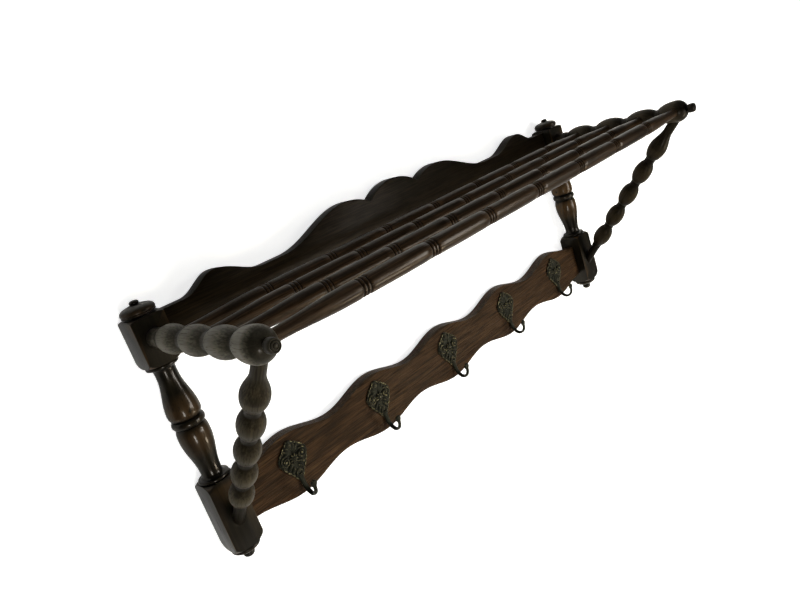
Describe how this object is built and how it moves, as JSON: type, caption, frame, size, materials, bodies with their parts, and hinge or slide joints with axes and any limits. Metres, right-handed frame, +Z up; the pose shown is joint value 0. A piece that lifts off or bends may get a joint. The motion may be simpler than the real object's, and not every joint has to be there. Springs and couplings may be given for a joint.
{
  "type": "wall coat rack",
  "caption": "Wall coat and hat rack of dark turned oak: turned posts, lobed and waved boards, bobbin-turned arms and braces, a shelf of round rails and cast hooks.",
  "frame": {"origin": "on the wall plane, midway between the seats of the two wall screws that the rack hangs on", "axes": "+X along the boards to the right of someone who faces the rack, +Y into the wall, +Z up"},
  "size_m": [1, 0.3342, 0.4074],
  "materials": {
    "post_oak": "dark stained oak, glossy wax over a varnish",
    "board_oak": "dark stained oak, open grain, satin",
    "bobbin_oak": "dark stained oak, worn and matt",
    "rail_oak": "dark stained oak, satin",
    "cast_brass": "antique finish, dark with bright high spots",
    "screw_brass": "antique finish, satin"
  },
  "bodies": {
    "root": {"left_post": "post_oak", "left_arm": "bobbin_oak", "left_brace": "bobbin_oak", "right_post": "post_oak", "right_arm": "bobbin_oak", "right_brace": "bobbin_oak", "upper_board": "board_oak", "lower_board": "board_oak", "shelf_rail_1": "rail_oak", "shelf_rail_2": "rail_oak", "shelf_rail_3": "rail_oak", "shelf_rail_4": "rail_oak", "coat_hook_1": "cast_brass", "coat_hook_2": "cast_brass", "coat_hook_3": "cast_brass", "coat_hook_4": "cast_brass", "coat_hook_5": "cast_brass", "hook_screw_1_upper": "screw_brass", "hook_screw_1_lower": "screw_brass", "hook_screw_2_upper": "screw_brass", "hook_screw_2_lower": "screw_brass", "hook_screw_3_upper": "screw_brass", "hook_screw_3_lower": "screw_brass", "hook_screw_4_upper": "screw_brass", "hook_screw_4_lower": "screw_brass", "hook_screw_5_upper": "screw_brass", "hook_screw_5_lower": "screw_brass"}
  },
  "joints": []
}
